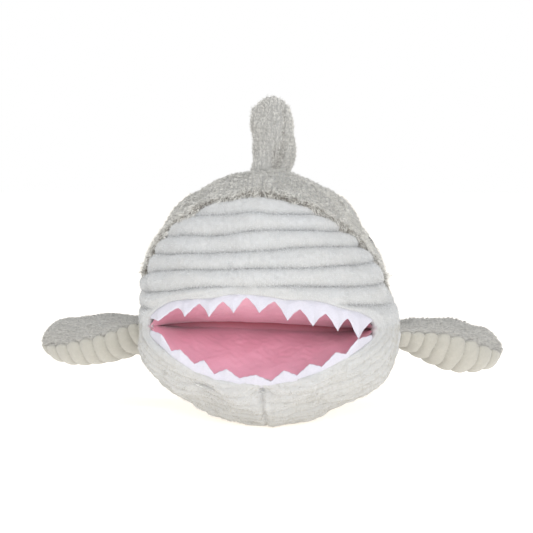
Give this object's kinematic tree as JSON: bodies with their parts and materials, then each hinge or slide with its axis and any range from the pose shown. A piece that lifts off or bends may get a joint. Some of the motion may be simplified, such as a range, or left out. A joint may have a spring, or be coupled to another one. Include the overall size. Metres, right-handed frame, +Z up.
{
  "type": "plush shark",
  "caption": "Plush shark resting on its belly with an open felt-toothed mouth, ribbed white underside, grey back, springy jaw, side fins, dorsal fin and tail",
  "frame": {"origin": "middle of the shark's footprint on the floor", "axes": "+Y runs back along the body from the nose to the tail, +X is the shark's left, +Z is up"},
  "size_m": [0.315, 0.373, 0.2079],
  "materials": {
    "grey_plush": "short warm-grey plush pile",
    "white_ribbed_plush": "white plush with wide rounded ribs",
    "pink_fleece": "flat pink fleece",
    "white_felt": "white felt, cut to points",
    "fibre_stuffing": "white polyester fibre",
    "black_plastic": "polished black",
    "white_plastic": "plain",
    "label_tape": "blank satin tape"
  },
  "bodies": {
    "trunk": {"back_panel_left": "grey_plush", "back_panel_right": "grey_plush", "snout_panel": "white_ribbed_plush", "belly_panel_left": "white_ribbed_plush", "belly_panel_right": "white_ribbed_plush", "trunk_stuffing": "fibre_stuffing", "mouth_roof_lining": "pink_fleece", "teeth_upper": "white_felt", "eye_left": "black_plastic", "eye_right": "black_plastic", "eye_washer_left": "white_plastic", "eye_washer_right": "white_plastic", "care_label": "label_tape"},
    "jaw": {"chin_panel_left": "white_ribbed_plush", "chin_panel_right": "white_ribbed_plush", "mouth_floor_lining": "pink_fleece", "jaw_stuffing": "fibre_stuffing", "teeth_lower": "white_felt"},
    "pectoral_left": {"pectoral_left_top_panel": "grey_plush", "pectoral_left_under_panel": "white_ribbed_plush", "pectoral_left_stuffing": "fibre_stuffing"},
    "pectoral_right": {"pectoral_right_top_panel": "grey_plush", "pectoral_right_under_panel": "white_ribbed_plush", "pectoral_right_stuffing": "fibre_stuffing"},
    "dorsal": {"dorsal_panel_left": "grey_plush", "dorsal_panel_right": "grey_plush", "dorsal_stuffing": "fibre_stuffing"},
    "tail": {"tail_back_panel": "grey_plush", "tail_belly_panel": "white_ribbed_plush", "tail_stuffing": "fibre_stuffing"},
    "tail_fin": {"tail_fin_panel_left": "grey_plush", "tail_fin_panel_right": "grey_plush", "tail_fin_stuffing": "fibre_stuffing"}
  },
  "joints": [
    {"name": "jaw_close", "type": "hinge", "parent": "trunk", "child": "jaw", "pos_m": [0, -0.1112, 0.0645], "axis": [-1, 0, 0], "range_deg": [0, 14], "stiffness_Nm_per_rad": 0.3},
    {"name": "pectoral_left_flap", "type": "hinge", "parent": "trunk", "child": "pectoral_left", "pos_m": [0.07643, -0.0572, 0.052], "axis": [0.165, -0.9863, 0], "range_deg": [-15, 34], "stiffness_Nm_per_rad": 0.12},
    {"name": "pectoral_right_flap", "type": "hinge", "parent": "trunk", "child": "pectoral_right", "pos_m": [-0.07643, -0.0572, 0.052], "axis": [0.165, 0.9863, 0], "range_deg": [-15, 34], "stiffness_Nm_per_rad": 0.12},
    {"name": "dorsal_lean", "type": "hinge", "parent": "trunk", "child": "dorsal", "pos_m": [0, -0.0392, 0.15586], "axis": [0, 0.995, -0.1003], "range_deg": [-28, 28], "stiffness_Nm_per_rad": 0.12},
    {"name": "tail_wag", "type": "hinge", "parent": "trunk", "child": "tail", "pos_m": [0, 0.0608, 0.08], "axis": [0, 0, 1], "range_deg": [-30, 30], "stiffness_Nm_per_rad": 0.35},
    {"name": "tail_fin_flex", "type": "hinge", "parent": "tail", "child": "tail_fin", "pos_m": [0, 0.1278, 0.084], "axis": [0, 0, 1], "range_deg": [-40, 40], "stiffness_Nm_per_rad": 0.12}
  ]
}
